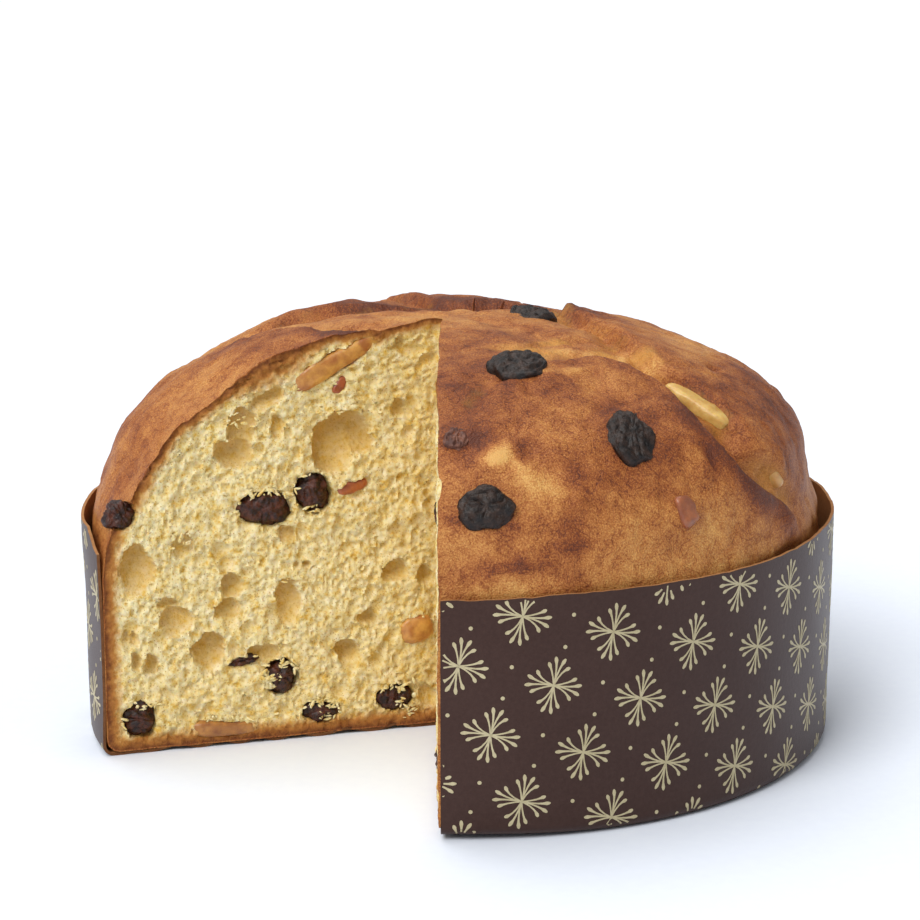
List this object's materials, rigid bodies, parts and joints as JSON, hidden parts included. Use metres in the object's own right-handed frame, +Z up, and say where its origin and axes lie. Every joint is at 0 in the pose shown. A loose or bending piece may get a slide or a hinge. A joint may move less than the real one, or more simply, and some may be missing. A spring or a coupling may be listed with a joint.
{
  "type": "panettone",
  "caption": "Low round sweet bread with raisins and candied peel in a brown paper baking case, one slice cut out and the crumb showing.",
  "frame": {"origin": "centre of the underside of the paper case", "axes": "+Z up out of the dome; the missing slice opens towards -X and -Y, between azimuth 196.7 and 270 degrees from +X"},
  "size_m": [0.21, 0.21, 0.1173],
  "materials": {
    "brioche": "baked sweet dough: mottled golden brown crust, pale yellow open crumb",
    "baking_paper": "dark brown printed baking paper, satin outside, bare kraft inside",
    "raisin": "wrinkled dried grape, burnt black on the crust, dark red-brown and glossy in the crumb",
    "candied_orange": "translucent sugared orange peel",
    "candied_citron": "translucent pale sugared citron peel"
  },
  "bodies": {
    "root": {"loaf": "brioche", "paper_case": "baking_paper", "raisin_dome_1": "raisin", "raisin_dome_2": "raisin", "raisin_dome_3": "raisin", "raisin_dome_4": "raisin", "raisin_dome_5": "raisin", "raisin_dome_6": "raisin", "raisin_dome_7": "raisin", "raisin_dome_8": "raisin", "peel_dome_1": "candied_citron", "peel_dome_2": "candied_orange", "peel_dome_3": "candied_citron", "raisin_left_1": "raisin", "raisin_left_2": "raisin", "raisin_left_3": "raisin", "raisin_left_4": "raisin", "raisin_left_5": "raisin", "raisin_left_6": "raisin", "raisin_left_7": "raisin", "raisin_left_8": "raisin", "peel_left_1": "candied_orange", "peel_left_2": "candied_orange", "peel_left_3": "candied_orange", "peel_left_4": "candied_orange", "peel_left_5": "candied_citron", "raisin_front_1": "raisin", "raisin_front_2": "raisin", "raisin_front_3": "raisin", "peel_front_1": "candied_orange", "peel_front_2": "candied_citron", "peel_front_3": "candied_orange"}
  },
  "joints": []
}
